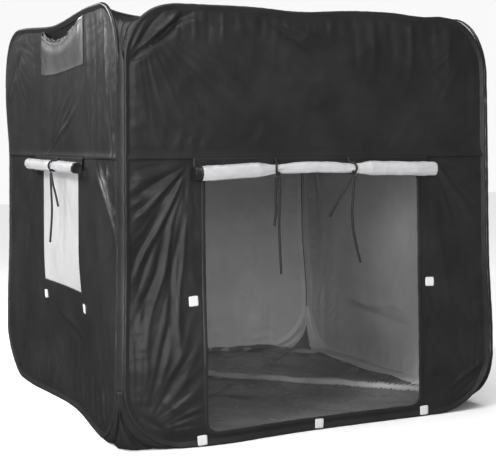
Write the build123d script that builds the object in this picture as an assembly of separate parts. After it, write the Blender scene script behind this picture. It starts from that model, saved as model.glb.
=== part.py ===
"""Pop-up fabric enclosure tent: four hooped walls, roof, floor, rolled door and window flaps.

Millimetres. Origin on the ground under the middle of the footprint, +Z up, door wall towards -Y,
window wall towards -X.
"""
import math
import os

from build123d import *

# Overall
WIDTH = 865
DEPTH = 950
HEIGHT = 880

# Walls
SLEEVE = 9            # edge sleeve, square section with rounded edges
SLEEVE_ROUND = 2.5
HOOP_RADIUS = 125     # outer corner radius of every wall
HOOP_WIRE = 3.2
HOOP_BORE = 3.8
SEAM_GAP = 3          # between two neighbouring sleeves, where the corner welt runs
WELT = 2.2
CLOTH = 1.6
BAND_SEAM_Z = 578     # horizontal seam between lower and upper cloth

# Doorway
DOOR_HALF = 249
DOOR_SILL_Z = 27
DOOR_TOP_Z = 545
DOOR_CORNER = 22
BINDING = 7
BINDING_THICK = 3

# Rolled door flap
ROLL_HALF = 281
ROLL_RADIUS = 15
ROLL_WAIST = 11
ROLL_TIED = 9
ROLL_Z = 552
ROLL_OUT = 24         # roll axis in front of the wall's inner face

# Ties and their tails
TIE = 5
TIE_X = (-98, 78)
KNOT = 6

# Window
WINDOW_HALF = 157
WINDOW_MID = 17       # along the wall, to the right seen from outside
WINDOW_BOTTOM_Z = 279
WINDOW_TOP_Z = 545
FILM = 1.0
WROLL_HALF = 216
WROLL_MID = 7
WROLL_RADIUS = 12.5
WROLL_TIED = 9
WROLL_Z = 556
WROLL_OUT = 21
WTIE_X = 28

# Hook-and-loop squares
PATCH = 20
PATCH_THICK = 1.5

# Side pocket under the top edge of the window wall
POCKET_HALF = 182
POCKET_MID = 33
POCKET_BOTTOM_Z = 766
POCKET_TOP_Z = 868
POCKET_SAG = 34
POCKET_OUT = 9        # how far its mouth stands off the cloth

# Roof, floor, corner gussets
PANEL_CLEAR = 0.6
ROOF_Z = HEIGHT - 6   # underside of the roof cloth
FLOOR_Z = 0           # underside of the floor cloth, on the ground
GUSSET_RADIUS = HOOP_RADIUS - 1
GUSSET_CLEAR = 2      # from a gusset's first edge to the panel's cut corner

# Half-sizes of the walls across their outside
FRONT_HALF = WIDTH / 2 - SLEEVE - SEAM_GAP
SIDE_HALF = DEPTH / 2 - SLEEVE - SEAM_GAP
CLOTH_IN = (SLEEVE - CLOTH) / 2
CLOTH_OUT = CLOTH_IN + CLOTH

# Where the corner seams, and so the fold axes, stand
SEAM_X = WIDTH / 2 - SLEEVE - SEAM_GAP / 2
SEAM_Y = DEPTH / 2 - SLEEVE - SEAM_GAP / 2

# A wall is drawn flat: x to the right seen from outside, y up from the ground, z outwards from
# the sleeve's inner face. These turn it into place.
INNER_FACE = {"front": DEPTH / 2 - SLEEVE, "back": DEPTH / 2 - SLEEVE,
              "right": WIDTH / 2 - SLEEVE, "left": WIDTH / 2 - SLEEVE}
TURN = {"front": 0, "right": 90, "back": 180, "left": -90}


def on_wall(shape, side):
    """Moves a shape drawn flat onto its wall."""
    return Rot(0, 0, TURN[side]) * Pos(0, -INNER_FACE[side], 0) * Rot(90, 0, 0) * shape


def plate(outline, bottom, thick):
    """A flat sheet from a drawn outline, starting at that height off the inner face."""
    return extrude(Pos(0, 0, bottom) * outline, thick)


def block(x0, x1, y0, y1, z0, z1):
    middle = Pos((x0 + x1) / 2, (y0 + y1) / 2, (z0 + z1) / 2)
    return middle * Box(x1 - x0, y1 - y0, z1 - z0)


def hoop_path(half, inset):
    """The closed line of a hoop, inset from the wall's outside."""
    outline = RectangleRounded(2 * (half - inset), HEIGHT - 2 * inset, HOOP_RADIUS - inset)
    return (Pos(0, HEIGHT / 2, SLEEVE / 2) * outline).wire()


def ring_of(half, diameter):
    """A round bar along the middle of a wall's sleeve."""
    path = hoop_path(half, SLEEVE / 2)
    section = Plane(origin=path @ 0, z_dir=path % 0) * Circle(diameter / 2)
    return sweep(section, path=path, transition=Transition.RIGHT)


def sleeve(half):
    outer = RectangleRounded(2 * half, HEIGHT, HOOP_RADIUS)
    inner = RectangleRounded(2 * (half - SLEEVE), HEIGHT - 2 * SLEEVE, HOOP_RADIUS - SLEEVE)
    ring = extrude(Pos(0, HEIGHT / 2, 0) * (outer - inner), SLEEVE)
    rims = ring.edges().filter_by(lambda e: abs(e.center().Z) < 0.01 or abs(e.center().Z - SLEEVE) < 0.01)
    return fillet(rims, SLEEVE_ROUND) - ring_of(half, HOOP_BORE)


def ferrule():
    """The crimp tube over the two ends of a hoop, in the middle of its bottom run."""
    outside = HOOP_BORE - 0.1
    tube = Circle(outside / 2) - Circle(HOOP_WIRE / 2)
    return Pos(-14, SLEEVE / 2, SLEEVE / 2) * Rot(0, 90, 0) * extrude(tube, 28)


def cloth_outline(half, top):
    """The cloth inside a sleeve, above or below the band seam."""
    inside = Pos(0, HEIGHT / 2) * RectangleRounded(
        2 * (half - SLEEVE), HEIGHT - 2 * SLEEVE, HOOP_RADIUS - SLEEVE)
    low, high = (BAND_SEAM_Z, HEIGHT) if top else (0, BAND_SEAM_Z)
    return inside & (Pos(0, (low + high) / 2) * Rectangle(2 * half, high - low))


def rounded_hole(x_mid, half, low, high, corner):
    return Pos(x_mid, (low + high) / 2) * RectangleRounded(2 * half, high - low, corner)


def bar(start, end, diameter):
    """A straight round bar between two points."""
    run = Vector(*end) - Vector(*start)
    section = Plane(origin=start, z_dir=run) * Circle(diameter / 2)
    return extrude(section, run.length)


def roll(half, middle, radius, waist, tied, ties, height, out):
    """A rolled flap: round ends, drawn in at its ties, hanging from a short neck of cloth."""
    stations = [(-half, radius)]
    for x in ties:
        before = radius - 0.5 if x == ties[0] else waist
        after = radius - 0.5 if x == ties[-1] else waist
        stations += [(x - 40, before), (x - 8, tied), (x + 8, tied), (x + 40, after)]
    stations += [(half, radius)]
    profile = Polyline((-half, 0), *stations, (half, 0), close=True)
    low, high = CLOTH_OUT + 0.4, CLOTH_OUT + 1.8
    neck = block(4 - half, half - 4, 0, BAND_SEAM_Z - height, low - out, high - out)
    neck += block(4 - half, half - 4, 0, 1.5, low - out, 0)
    for x in ties:
        neck -= block(x - 4, x + 4, -1, BAND_SEAM_Z, -out, 0)
    return Pos(middle, height, out) * (revolve(make_face(profile), Axis.X) + neck)


def tie_points(tied, height, out):
    """Radius of a tie's ring and, across the wall, where its knot sits on the roll's lower front."""
    ring = tied + 0.4 + TIE / 2
    low = math.radians(-52)
    return ring, height + ring * math.sin(low), out + ring * math.cos(low)


def tie_loop(x, tied, height, out):
    """A tie round a roll: a ring, a riser to the band seam and the knot at the lower front."""
    ring_radius, knot_y, knot_z = tie_points(tied, height, out)
    ring = Pos(x, height, out) * Rot(0, 90, 0) * Torus(ring_radius, TIE / 2)
    roll_core = Pos(x, height, out) * Rot(0, 90, 0) * Cylinder(tied + 0.35, 60)
    knot = Pos(x, knot_y, knot_z) * Sphere(KNOT) - roll_core
    top = (x, height + ring_radius * 0.95, out - ring_radius * 0.31)
    riser = bar(top, (x, BAND_SEAM_Z - 1, CLOTH_OUT + 0.4 + TIE / 2), TIE)
    return ring + riser + knot


def cord(name, points):
    """A limp tail: straight runs joined by tangent arcs."""
    radii = []
    for a, b, c in zip(points, points[1:], points[2:]):
        run1 = Vector(*b) - Vector(*a)
        run2 = Vector(*c) - Vector(*b)
        turn = math.radians(run1.get_angle(run2))
        radii.append(0.45 * min(run1.length, run2.length) / math.tan(turn / 2))
    line = FilletPolyline(*points, radius=radii)
    length = sum(e.length for e in line.edges())
    print(name, "length", round(length, 1), "radii", [round(r, 1) for r in radii])
    section = Plane(origin=line @ 0, z_dir=line % 0) * Circle(TIE / 2)
    return sweep(section, path=line)


def tail_start(x, shift, tied, height, out):
    """Where a tail leaves its knot, a little below it."""
    _, knot_y, knot_z = tie_points(tied, height, out)
    return (x + shift, knot_y - KNOT - 0.4, knot_z)


def patches(places, base):
    return Compound([Pos(x, y, base + PATCH_THICK / 2) * Box(PATCH, PATCH, PATCH_THICK) for x, y in places])


def gusset_start(top):
    """Where a gusset begins: its sheet's level, the arc's centre and the turn from the arc's end."""
    arc_z = HEIGHT - HOOP_RADIUS if top else HOOP_RADIUS
    sheet_z = ROOF_Z if top else FLOOR_Z + CLOTH
    return arc_z, math.acos(abs(sheet_z - arc_z) / GUSSET_RADIUS)


def gusset(x_sign, y_sign, top):
    """The cloth across a corner notch: level straight lines from one hoop's arc to the next's."""
    side = 1 if top else -1
    arc_z, first_turn = gusset_start(top)
    last_turn = math.radians(86)
    face_y = DEPTH / 2 - SLEEVE - PANEL_CLEAR
    face_x = WIDTH / 2 - SLEEVE - PANEL_CLEAR
    on_front, on_side = [], []
    for step in range(9):
        turn = first_turn + (last_turn - first_turn) * step / 8
        along = GUSSET_RADIUS * math.sin(turn) - HOOP_RADIUS
        z = arc_z + side * GUSSET_RADIUS * math.cos(turn)
        on_front.append((x_sign * (FRONT_HALF + along), y_sign * face_y, z))
        on_side.append((x_sign * face_x, y_sign * (SIDE_HALF + along), z))
    surface = Face.make_surface_from_curves(Edge.make_spline(on_front), Edge.make_spline(on_side))
    inward = Vector(-x_sign, -y_sign, -side)
    depth = CLOTH if surface.normal_at().dot(inward) > 0 else -CLOTH
    return Solid.thicken(surface, depth)


def flat_panel(z, top):
    """Roof or floor cloth: the footprint inside the walls with its corners cut across."""
    half_x = WIDTH / 2 - SLEEVE - PANEL_CLEAR
    half_y = DEPTH / 2 - SLEEVE - PANEL_CLEAR
    _, first_turn = gusset_start(top)
    back = HOOP_RADIUS - GUSSET_RADIUS * math.sin(first_turn) - GUSSET_CLEAR
    cut_x = FRONT_HALF - back
    cut_y = SIDE_HALF - back
    corners = [(half_x, -cut_y), (half_x, cut_y), (cut_x, half_y), (-cut_x, half_y),
               (-half_x, cut_y), (-half_x, -cut_y), (-cut_x, -half_y), (cut_x, -half_y)]
    return Pos(0, 0, z) * extrude(make_face(Polyline(*corners, close=True)), CLOTH)


parts = {}

# Walls
for side, half in (("front", FRONT_HALF), ("right", SIDE_HALF), ("back", FRONT_HALF), ("left", SIDE_HALF)):
    parts[side + "_sleeve"] = on_wall(sleeve(half), side)
    hoop_cut = block(-0.4, 0.4, 0, SLEEVE, 0, SLEEVE)
    parts[side + "_hoop"] = on_wall(ring_of(half, HOOP_WIRE) - hoop_cut, side)
    parts[side + "_hoop_ferrule"] = on_wall(ferrule(), side)
    upper = plate(cloth_outline(half, True), CLOTH_IN, CLOTH)
    lower = plate(cloth_outline(half, False), CLOTH_IN, CLOTH)
    if side == "front":
        hole = rounded_hole(0, DOOR_HALF + BINDING, DOOR_SILL_Z - BINDING, DOOR_TOP_Z + BINDING,
                            DOOR_CORNER + BINDING)
        lower = lower - extrude(hole, SLEEVE)
    if side == "left":
        hole = rounded_hole(WINDOW_MID, WINDOW_HALF, WINDOW_BOTTOM_Z, WINDOW_TOP_Z, 6)
        lower = lower - extrude(hole, SLEEVE)
    parts[side + "_upper_cloth"] = on_wall(upper, side)
    parts[side + "_lower_cloth"] = on_wall(lower, side)

# Corner welts
welt_low = HOOP_RADIUS - 12
for name, x, y in (("front_left", -SEAM_X, -SEAM_Y), ("front_right", SEAM_X, -SEAM_Y),
                   ("back_right", SEAM_X, SEAM_Y), ("back_left", -SEAM_X, SEAM_Y)):
    post = Cylinder(WELT / 2, HEIGHT - 2 * welt_low)
    parts["corner_welt_" + name] = Pos(x, y, HEIGHT / 2) * post

# Roof, floor and the eight corner gussets
parts["roof_cloth"] = flat_panel(ROOF_Z, True)
parts["floor_cloth"] = flat_panel(FLOOR_Z, False)
for name, x_sign, y_sign in (("front_left", -1, -1), ("front_right", 1, -1),
                             ("back_right", 1, 1), ("back_left", -1, 1)):
    parts["top_gusset_" + name] = gusset(x_sign, y_sign, True)
    parts["bottom_gusset_" + name] = gusset(x_sign, y_sign, False)

# Doorway binding
outside = rounded_hole(0, DOOR_HALF + BINDING, DOOR_SILL_Z - BINDING, DOOR_TOP_Z + BINDING, DOOR_CORNER + BINDING)
inside = rounded_hole(0, DOOR_HALF, DOOR_SILL_Z, DOOR_TOP_Z, DOOR_CORNER)
binding_base = (SLEEVE - BINDING_THICK) / 2
parts["doorway_binding"] = on_wall(plate(outside - inside, binding_base, BINDING_THICK), "front")

# Rolled door flap, its ties and their tails
parts["door_flap_roll"] = on_wall(
    roll(ROLL_HALF, 0, ROLL_RADIUS, ROLL_WAIST, ROLL_TIED, TIE_X, ROLL_Z, ROLL_OUT), "front")
for label, x in (("left", TIE_X[0]), ("right", TIE_X[1])):
    parts["door_tie_" + label] = on_wall(tie_loop(x, ROLL_TIED, ROLL_Z, ROLL_OUT), "front")

tails = {
    "door_tail_left_long": ("front", [
        tail_start(TIE_X[0], 3.2, ROLL_TIED, ROLL_Z, ROLL_OUT), (-93, 492, 31), (-95, 438, 29), (-93, 388, 30),
        (-90, 336, 28)]),
    "door_tail_left_short": ("front", [
        tail_start(TIE_X[0], -3.2, ROLL_TIED, ROLL_Z, ROLL_OUT), (-103, 500, 30), (-102, 466, 31),
        (-106, 436, 30)]),
    "door_tail_right_long": ("front", [
        tail_start(TIE_X[1], 3.2, ROLL_TIED, ROLL_Z, ROLL_OUT), (76, 497, 31), (74, 452, 30), (80, 402, 31),
        (96, 352, 29)]),
    "door_tail_right_short": ("front", [
        tail_start(TIE_X[1], -3.2, ROLL_TIED, ROLL_Z, ROLL_OUT), (58, 508, 32), (38, 484, 31),
        (22, 452, 30)]),
    "window_tail_long": ("left", [
        tail_start(WTIE_X, -3.2, WROLL_TIED, WROLL_Z, WROLL_OUT), (27, 500, 28), (30, 460, 27), (25, 418, 28),
        (7, 380, 27)]),
    "window_tail_short": ("left", [
        tail_start(WTIE_X, 3.2, WROLL_TIED, WROLL_Z, WROLL_OUT), (46, 515, 29), (66, 494, 28),
        (84, 466, 27)]),
}
for name, (side, points) in tails.items():
    parts[name] = on_wall(cord(name, points), side)

# Window film, rolled window flap and its tie
film = rounded_hole(WINDOW_MID, WINDOW_HALF, WINDOW_BOTTOM_Z, WINDOW_TOP_Z, 6)
parts["window_film"] = on_wall(plate(film, (SLEEVE - FILM) / 2, FILM), "left")
parts["window_flap_roll"] = on_wall(
    roll(WROLL_HALF, WROLL_MID, WROLL_RADIUS, WROLL_RADIUS, WROLL_TIED, (WTIE_X - WROLL_MID,), WROLL_Z,
         WROLL_OUT), "left")
parts["window_tie"] = on_wall(tie_loop(WTIE_X, WROLL_TIED, WROLL_Z, WROLL_OUT), "left")

# Hook-and-loop squares
jamb = DOOR_HALF + BINDING + 4 + PATCH / 2
sill_patch_z = DOOR_SILL_Z - BINDING - PATCH / 2 + 4
parts["door_patches"] = on_wall(
    patches([(-jamb - 6, 290), (jamb + 6, 300)], CLOTH_OUT), "front")
parts["sill_patches"] = on_wall(
    patches([(-262, sill_patch_z), (0, sill_patch_z), (258, sill_patch_z)], SLEEVE), "front")
parts["window_patches"] = on_wall(
    patches([(-132, 243), (190, 246)], CLOTH_OUT), "left")

# Side pocket: a sheet standing off the cloth, its mouth sagging, sewn down at sides and bottom
mouth_low = POCKET_TOP_Z - POCKET_SAG
outer_line = [(POCKET_MID - POCKET_HALF, POCKET_BOTTOM_Z), (POCKET_MID + POCKET_HALF, POCKET_BOTTOM_Z)]
sides = Polyline((POCKET_MID - POCKET_HALF, POCKET_TOP_Z), *outer_line, (POCKET_MID + POCKET_HALF, POCKET_TOP_Z))
mouth = ThreePointArc((POCKET_MID + POCKET_HALF, POCKET_TOP_Z), (POCKET_MID, mouth_low),
                      (POCKET_MID - POCKET_HALF, POCKET_TOP_Z))
sheet_base = CLOTH_OUT + POCKET_OUT - CLOTH
pocket_left = POCKET_MID - POCKET_HALF
pocket_right = POCKET_MID + POCKET_HALF
bottom_top_z = POCKET_BOTTOM_Z + CLOTH
side_top_z = POCKET_TOP_Z - 2
parts["side_pocket"] = on_wall(Compound([
    plate(make_face(sides + mouth), sheet_base, CLOTH),
    block(pocket_left, pocket_right, POCKET_BOTTOM_Z, bottom_top_z, CLOTH_OUT, sheet_base),
    block(pocket_left, pocket_left + CLOTH, bottom_top_z, side_top_z, CLOTH_OUT, sheet_base),
    block(pocket_right - CLOTH, pocket_right, bottom_top_z, side_top_z, CLOTH_OUT, sheet_base),
]), "left")

os.makedirs("parts", exist_ok=True)
for name, shape in parts.items():
    export_step(shape, f"parts/{name}.step")
print(len(parts), "parts")
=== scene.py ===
"""Looks of the pop-up enclosure tent: hooped satin walls, gussets, rolled flaps, ties, film.

The cloth is shaped in millimetres on each wall, like the CAD: u to the right seen from outside,
v up from the ground, w outwards from the sleeve's inner face. Meshes are stored in metres.
"""
import math

import bpy
import numpy as np
from mathutils import Matrix, Vector


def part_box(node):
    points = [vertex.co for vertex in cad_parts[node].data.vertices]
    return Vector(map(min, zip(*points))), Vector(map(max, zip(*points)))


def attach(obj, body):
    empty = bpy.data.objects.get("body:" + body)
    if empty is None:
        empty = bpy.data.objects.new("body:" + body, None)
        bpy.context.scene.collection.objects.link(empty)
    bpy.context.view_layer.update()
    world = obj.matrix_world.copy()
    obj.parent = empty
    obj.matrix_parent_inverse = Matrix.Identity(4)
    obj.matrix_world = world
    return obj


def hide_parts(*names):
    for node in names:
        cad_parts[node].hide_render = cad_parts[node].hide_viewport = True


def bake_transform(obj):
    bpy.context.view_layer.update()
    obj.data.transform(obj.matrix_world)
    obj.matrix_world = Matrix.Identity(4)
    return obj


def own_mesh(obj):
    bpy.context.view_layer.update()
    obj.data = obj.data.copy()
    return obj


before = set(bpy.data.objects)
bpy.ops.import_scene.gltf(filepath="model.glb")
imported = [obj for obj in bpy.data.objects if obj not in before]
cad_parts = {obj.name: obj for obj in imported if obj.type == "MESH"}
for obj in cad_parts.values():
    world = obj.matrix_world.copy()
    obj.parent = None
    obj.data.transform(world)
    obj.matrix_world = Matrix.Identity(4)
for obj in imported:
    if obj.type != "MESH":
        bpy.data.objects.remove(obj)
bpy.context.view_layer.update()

MM = 0.001


def box_mm(node):
    low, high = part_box(node)
    return np.array(low) / MM, np.array(high) / MM


# ---------------- sizes, from the frame
FRONT_LOW, FRONT_HIGH = box_mm("front_sleeve")
SIDE_HIGH = box_mm("left_sleeve")[1]
HEIGHT = FRONT_HIGH[2]
SLEEVE = FRONT_HIGH[1] - FRONT_LOW[1]
HALF = {"front": FRONT_HIGH[0], "back": FRONT_HIGH[0], "left": SIDE_HIGH[1], "right": SIDE_HIGH[1]}
INNER_FACE = {"front": -FRONT_HIGH[1], "back": -FRONT_HIGH[1], "left": -SIDE_HIGH[0], "right": -SIDE_HIGH[0]}
BAND_SEAM = box_mm("front_upper_cloth")[0][2]
HOOP_RADIUS = 125
SEAM_X = INNER_FACE["left"] - 1.5
SEAM_Y = INNER_FACE["front"] - 1.5

CLOTH_OUT = 5.3
CLOTH_THICK = 1.4
TUBE_MID = SLEEVE / 2

DOOR_LOW, DOOR_HIGH = box_mm("doorway_binding")
BINDING = 7
DOOR_HALF = DOOR_HIGH[0] - BINDING
DOOR_SILL = DOOR_LOW[2] + BINDING
DOOR_TOP = DOOR_HIGH[2] - BINDING
DOOR_CORNER = 22

FILM_LOW, FILM_HIGH = box_mm("window_film")
WINDOW_LEFT, WINDOW_RIGHT = -FILM_HIGH[1], -FILM_LOW[1]
WINDOW_BOTTOM, WINDOW_TOP = FILM_LOW[2], FILM_HIGH[2]

# How the real tent stands: drawn in at the top and flared at the foot, with swells of the cloth
# given as size, middle and width
TAPER = 0.0285
FOOT_FLARE = 12
RIGHT_SPRING = 9
WINDOW_BOW = (34, -40, 260)
JAMB_SWELL = (22, -240, 140)
JAMB_DRIFT = 0.43       # the swollen jamb leans this share sideways
FRONT_SAGS = ((7, -30, 80), (7, 270, 60))

# Where cloth buckles: cell size, height and direction of three sizes of ridge
BUCKLES = ((120, 1.8, 0.5), (60, 0.8, -0.8), (27, 0.25, 1.2))


# ---------------- small maths
def smooth(x):
    x = np.clip(x, 0, 1)
    return x * x * (3 - 2 * x)


def bump(x, middle, width):
    """1 at the middle, falling away on both sides."""
    return np.exp(-(((x - middle) / width) ** 2))


def swell(x, shape):
    size, middle, width = shape
    return size * bump(x, middle, width)


def ring_turns(count):
    return np.linspace(0, 2 * math.pi, count, endpoint=False)


def noise(a, b, seed):
    """Smooth gradient noise, about -1 to 1, one bump per unit."""
    angles = np.random.default_rng(seed).uniform(0, 2 * math.pi, (64, 64))
    i, j = np.floor(a).astype(int), np.floor(b).astype(int)
    s, t = a - i, b - j

    def corner(di, dj):
        turn = angles[(i + di) % 64, (j + dj) % 64]
        return np.cos(turn) * (s - di) + np.sin(turn) * (t - dj)

    fs = s ** 3 * (s * (6 * s - 15) + 10)
    ft = t ** 3 * (t * (6 * t - 15) + 10)
    low = corner(0, 0) * (1 - fs) + corner(1, 0) * fs
    high = corner(0, 1) * (1 - fs) + corner(1, 1) * fs
    return 1.5 * (low * (1 - ft) + high * ft)


def crumple(u, v, seed):
    """Uneven cloth: broad swells, and thin ridges where it buckles."""
    bent_u = u + 22 * noise(u / 110, v / 110, seed + 1)
    bent_v = v + 22 * noise(u / 110 + 9, v / 110, seed + 2)
    height = 3.0 * noise(u / 190, v / 240, seed)
    for cell, size, turn in BUCKLES:
        a = (math.cos(turn) * bent_u + math.sin(turn) * bent_v) / cell
        b = (math.cos(turn) * bent_v - math.sin(turn) * bent_u) / (cell * 1.8)
        height = height + size * (1 - 2.4 * np.abs(noise(a, b, seed + 3)))
        seed += 5
    return height


# ---------------- folds drawn on the walls
class Fold:
    """A fold from start to end on a wall: a ridge, or a groove when its height is below 0."""

    def __init__(self, start, end, width, height, spread=1.0, seed=0):
        self.start, self.end = start, end
        self.width, self.height, self.spread, self.seed = width, height, spread, seed

    def place(self, u, v):
        """How far a point is along the fold, as a share, and off its line, and the fold's length."""
        run_u, run_v = self.end[0] - self.start[0], self.end[1] - self.start[1]
        run = math.hypot(run_u, run_v)
        along = ((u - self.start[0]) * run_u + (v - self.start[1]) * run_v) / run ** 2
        off = ((u - self.start[0]) * run_v - (v - self.start[1]) * run_u) / run
        return along, off, run

    def waver(self, along, seed):
        return noise(along, along * 0 + self.seed, seed)

    def at(self, u, v):
        along, off, run = self.place(u, v)
        off = off + 0.035 * run * self.waver(along * 2.3, 70) * smooth(along * 3)
        width = np.maximum(7, self.width * (1 + (self.spread - 1) * np.clip(along, 0, 1)))
        crest = np.exp(0.2 - np.sqrt((off / width) ** 2 + 0.04))
        trough = 0.5 * bump(off, 0, 2.2 * width)
        fade = smooth((along + 0.02) / 0.22) * smooth((1.05 - along) / 0.4)
        return self.height * fade * (crest - trough)


class Pleat(Fold):
    """A fold with a steep face on the left of its run and a long slope down behind it."""

    def at(self, u, v):
        along, off, _ = self.place(u, v)
        off = off + self.spread * 16 * self.waver(along * 3.1, 71)
        rise = smooth((off + self.width / 2) / self.width) * np.exp(-np.maximum(off, 0) / 38)
        uneven = 0.95 + 0.3 * self.waver(along * 9, 72)
        return self.height * uneven * smooth(along / 0.08) * smooth((1 - along) / 0.08) * rise


def fan(origin, ends, width, height, spread=3.0):
    """Folds that leave one point and widen, ridge and groove by turns."""
    folds = []
    for i, end in enumerate(ends):
        folds.append(Fold(origin, end, width, height * (1 if i % 2 else -0.9), spread, i * 3 + 1))
        if i:
            between = ((end[0] + ends[i - 1][0]) / 2, (end[1] + ends[i - 1][1]) / 2)
            folds.append(Fold(origin, between, 0.6 * width, -0.5 * height, spread, i * 3 + 2))
    return folds


def rows_of(us, low, high, width, height, lean=0):
    """Upright folds side by side."""
    return [Fold((u, high), (u + lean, low), width, height * (1 if i % 2 else -0.7), 1.3, i * 2 + 5)
            for i, u in enumerate(us)]


FOLDS = {
    "front": (
        fan((-426, 744), [(-386, 860), (-352, 876), (-318, 884), (-280, 888), (-236, 890)], 5, 13, 2.4)
        + fan((-284, 566), [(-428, 490), (-426, 430), (-428, 360), (-424, 290), (-412, 220), (-388, 172),
                            (-345, 165), (-310, 172)], 3.6, 6, 2.6)
        + fan((292, 564), [(346, 420), (392, 428), (414, 478), (424, 530)], 4, 5)
        + fan((-446, 98), [(-356, 18), (-384, 6), (-330, 34), (-410, 4)], 5, 6, 2.0)
        + [Fold((430, 132), (312, 44), 9, 6, 0.7, 2), Fold((432, 108), (335, 30), 8, -6, 0.7, 4),
           Fold((426, 90), (356, 22), 7, 6, 0.7, 6), Fold((416, 68), (374, 14), 6, -5, 0.7, 8)]
        + [Fold((-170, 878), (80, 774), 9, -6, 1.6, 3), Fold((-150, 878), (40, 812), 12, 4, 1.4, 9)]
        + rows_of((-300, -269, -239, -207), 800, 878, 7, 3.4)
        + rows_of((97, 142, 189, 237, 287, 330), 740, 878, 12, 4.4, 2)
        + rows_of((-296, -278, -258), 572, 622, 6, 2.2)
        + [Fold((-80, 739), (85, 729), 16, 3.4), Fold((-71, 674), (81, 670), 14, -2.8),
           Fold((-120, 600), (120, 592), 14, 2.2), Fold((-350, 102), (-284, 63), 10, 3),
           Fold((262, 300), (280, 222), 6, 4), Fold((280, 240), (254, 60), 8, -4.5),
           Fold((300, 420), (330, 200), 14, 3), Fold((21, 9), (244, 24), 7, 2.5),
           Fold((-60, 15), (-250, 12), 7, -2.2)]
    ),
    "left": (
        # here u = -y, so the door end of the wall is at the right
        [Fold((466, 868), (446, 770), 6, -7, 1.4), Fold((446, 872), (424, 800), 7, 5, 1.4, 3),
         Fold((240, 868), (247, 700), 16, 3.5), Fold((300, 868), (312, 690), 15, -3, 1.2, 4),
         Fold((372, 850), (388, 620), 12, 4, 1.3, 8), Fold((388, 690), (452, 470), 9, -6, 1.3, 2),
         Fold((423, 640), (458, 470), 7, 6, 1.2, 4)]
        + fan((458, 420), [(286, 580), (314, 580), (342, 580), (370, 580), (398, 580), (426, 580)], 4, 9, 2.0)
        + fan((-110, 578), [(20, 690), (76, 706), (132, 712), (176, 690)], 4, 6, 2.0)
        + rows_of((262, 284, 306, 328, 350, 372, 394, 416), 590, 700, 6, 3.5, -8)
        + fan((235, 560), [(250, 640), (290, 660)], 5, 3)
        + fan((-200, 560), [(-330, 420), (-400, 300), (-360, 200)], 5, 5, 3.0)
        + [Fold((-47, 214), (160, 176), 14, 4), Fold((-20, 196), (180, 150), 12, -3)]
        + rows_of((80, 130, 192, 250, 308, 352, 396), 14, 110, 9, 5, 22)
        + rows_of((-60, -130, -210, -290), 10, 90, 10, 4, -14)
        + fan((-448, 700), [(-330, 820), (-360, 770), (-300, 850)], 6, 6)
    ),
    "right": (
        # u = y: the doorway end is at the left
        [Fold((-125, 138), (240, 146), 13, 8, 1.2), Fold((-90, 176), (236, 170), 13, -8, 1.2, 3)]
        + rows_of((404, 374, 342, 308), 10, 190, 9, 5, 4)
        + fan((430, 600), [(330, 380), (380, 330), (290, 460)], 6, 5)
        + fan((-440, 700), [(-330, 820), (-300, 770), (-350, 640)], 6, 6)
        + rows_of((-380, -300, -210, -120, -30, 80, 190, 300), 760, 876, 14, 3.5)
        + fan((-440, 120), [(-360, 60), (-330, 24), (-390, 14)], 6, 6)
    ),
    "back": (
        # u = -x
        rows_of((-350, -316, -284, -252, -222), 8, 140, 9, 5, 0)
        + rows_of((-140, -40, 70, 180, 280), 10, 90, 14, 3)
        + fan((-410, 640), [(-300, 420), (-340, 330), (-250, 520)], 7, 4)
        + fan((410, 640), [(300, 420), (340, 330), (250, 520)], 7, 4)
        + rows_of((-330, -240, -150, -40, 60, 150, 250, 330), 760, 876, 14, 3.5)
        + [Fold((-200, 560), (120, 300), 30, 4), Fold((-120, 420), (220, 200), 26, -3)]
    ),
}


# ---------------- where the cloth is
def half_width(side, v, inset):
    """Half the wall's width at that height, inside its rounded corners."""
    radius = HOOP_RADIUS - inset
    near_end = np.minimum(v - inset, HEIGHT - inset - v)
    rise = np.clip(radius - near_end, 0, radius)
    return HALF[side] - inset - radius + np.sqrt(np.maximum(radius ** 2 - rise ** 2, 0))


def edge_distance(side, u, v):
    """How far a point is inside the wall's outline."""
    a = np.abs(u) - (HALF[side] - HOOP_RADIUS)
    b = np.abs(v - HEIGHT / 2) - (HEIGHT / 2 - HOOP_RADIUS)
    outside = np.hypot(np.maximum(a, 0), np.maximum(b, 0)) + np.minimum(np.maximum(a, b), 0)
    return HOOP_RADIUS - outside


def rays(u, v, origin, height, reach, seed):
    """Fine wrinkles that leave a point the cloth is pulled from."""
    distance = np.hypot(u - origin[0], v - origin[1])
    turn = np.arctan2(v - origin[1], u - origin[0])
    streaks = noise(turn * 6.5 + 0.3 * noise(distance / 90, turn * 2, seed + 1), distance / 210, seed)
    fine = noise(turn * 15, distance / 120, seed + 2)
    near = smooth((distance - 25) / 110)
    return height * np.exp(-distance / reach) * near * (1.2 - 3 * np.abs(streaks) + 0.6 * fine)


CALM = {"front": 0.85, "left": 0.28, "right": 0.8, "back": 0.8}      # share of the crumpling kept
PUCKER = {"front": 1.6, "left": 1.0, "right": 2.4, "back": 2.4}
PUCKER_REACH = 75
OPENING_REACH = 45
POCKET_GAP = 10


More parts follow.
